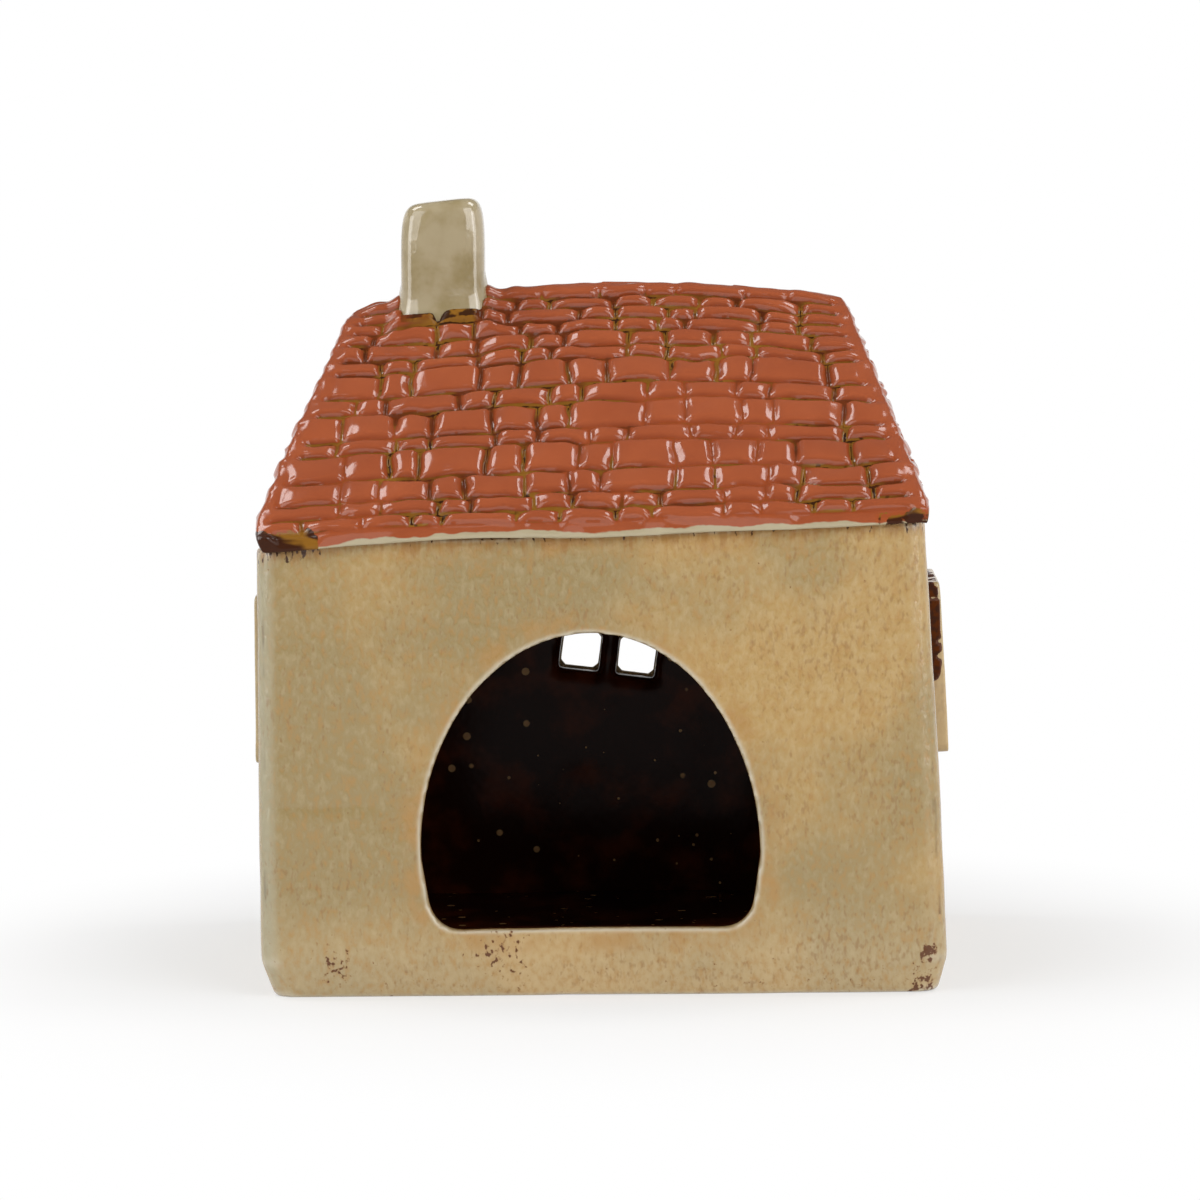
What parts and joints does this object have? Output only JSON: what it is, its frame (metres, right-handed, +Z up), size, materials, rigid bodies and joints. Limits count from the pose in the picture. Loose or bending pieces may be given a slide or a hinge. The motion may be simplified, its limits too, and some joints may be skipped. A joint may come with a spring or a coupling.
{
  "type": "tealight house",
  "caption": "Small glazed ceramic house with a tiled hip roof, a chimney and cut-out windows, open at the rear by an arch that a tealight goes in by.",
  "frame": {"origin": "on the table, under the middle of the base slab", "axes": "+Z up, -Y out of the rear arch that the tealight goes in by, +X to the right as the arch is faced"},
  "size_m": [0.1344, 0.1019, 0.149],
  "materials": {
    "wall_glaze": "glossy cream glaze with grey-green mottling",
    "inside_glaze": "glossy dark brown glaze with tan specks",
    "roof_glaze": "glossy terracotta glaze, ochre in the joints",
    "chimney_glaze": "glossy grey-green glaze",
    "door_glaze": "glossy brown glaze"
  },
  "bodies": {
    "root": {"base_slab": "inside_glaze", "rear_wall": "wall_glaze", "front_wall": "wall_glaze", "left_wall": "wall_glaze", "right_wall": "wall_glaze", "rear_roof_slab": "roof_glaze", "front_roof_slab": "roof_glaze", "left_roof_slab": "roof_glaze", "right_roof_slab": "roof_glaze", "chimney": "chimney_glaze", "front_window": "wall_glaze", "left_window": "wall_glaze", "right_window": "wall_glaze", "front_door": "door_glaze", "door_knob": "wall_glaze"}
  },
  "joints": []
}
